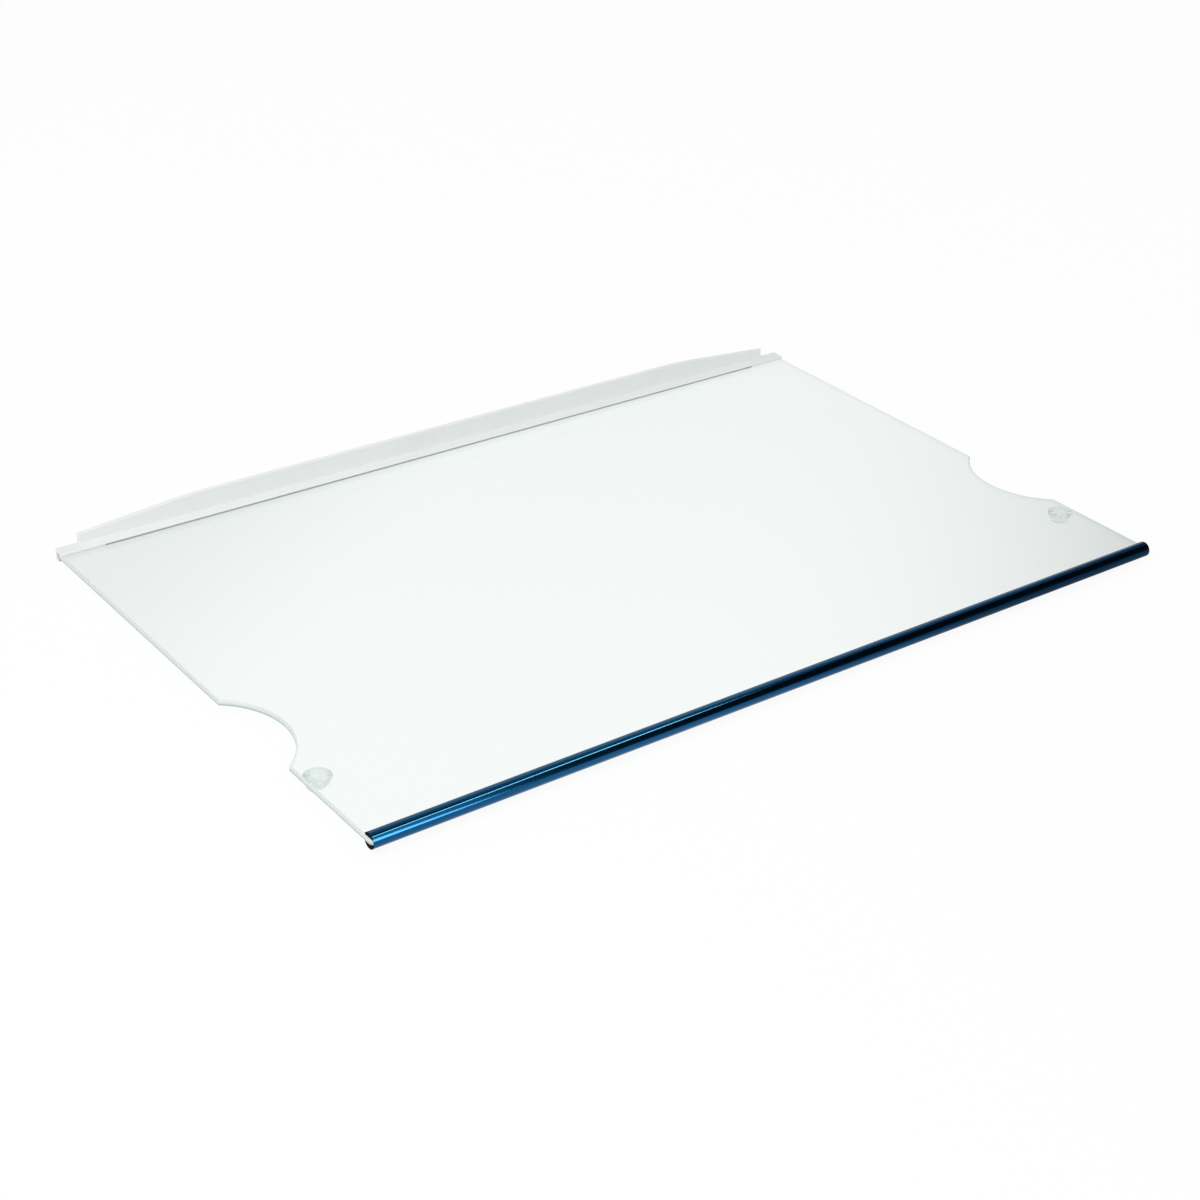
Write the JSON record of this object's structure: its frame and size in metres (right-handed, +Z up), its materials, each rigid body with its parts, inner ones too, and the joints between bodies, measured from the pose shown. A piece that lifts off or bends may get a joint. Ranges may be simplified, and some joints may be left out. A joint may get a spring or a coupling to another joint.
{
  "type": "fridge glass shelf",
  "caption": "Flat glass fridge shelf with a round blue trim along its front edge, a clip trim with a low upstand at the back, a round notch in each side and clear stops underneath.",
  "frame": {"origin": "under the middle of the shelf's overall rectangle, in the plane of the stops' undersides", "axes": "+X along the width to the shelf's right, +Y from the front trim to the rear trim, +Z up"},
  "size_m": [0.47, 0.3012, 0.02],
  "materials": {
    "toughened_glass": "clear float glass with ground edges, faintly green",
    "blue_trim": "extruded plastic with a metallised dark blue skin, black where it is cut",
    "white_trim": "satin moulded plastic",
    "clear_stop": "clear moulded plastic"
  },
  "bodies": {
    "root": {"glass_plate": "toughened_glass", "front_trim": "blue_trim", "rear_trim": "white_trim", "left_stop": "clear_stop", "right_stop": "clear_stop"}
  },
  "joints": []
}
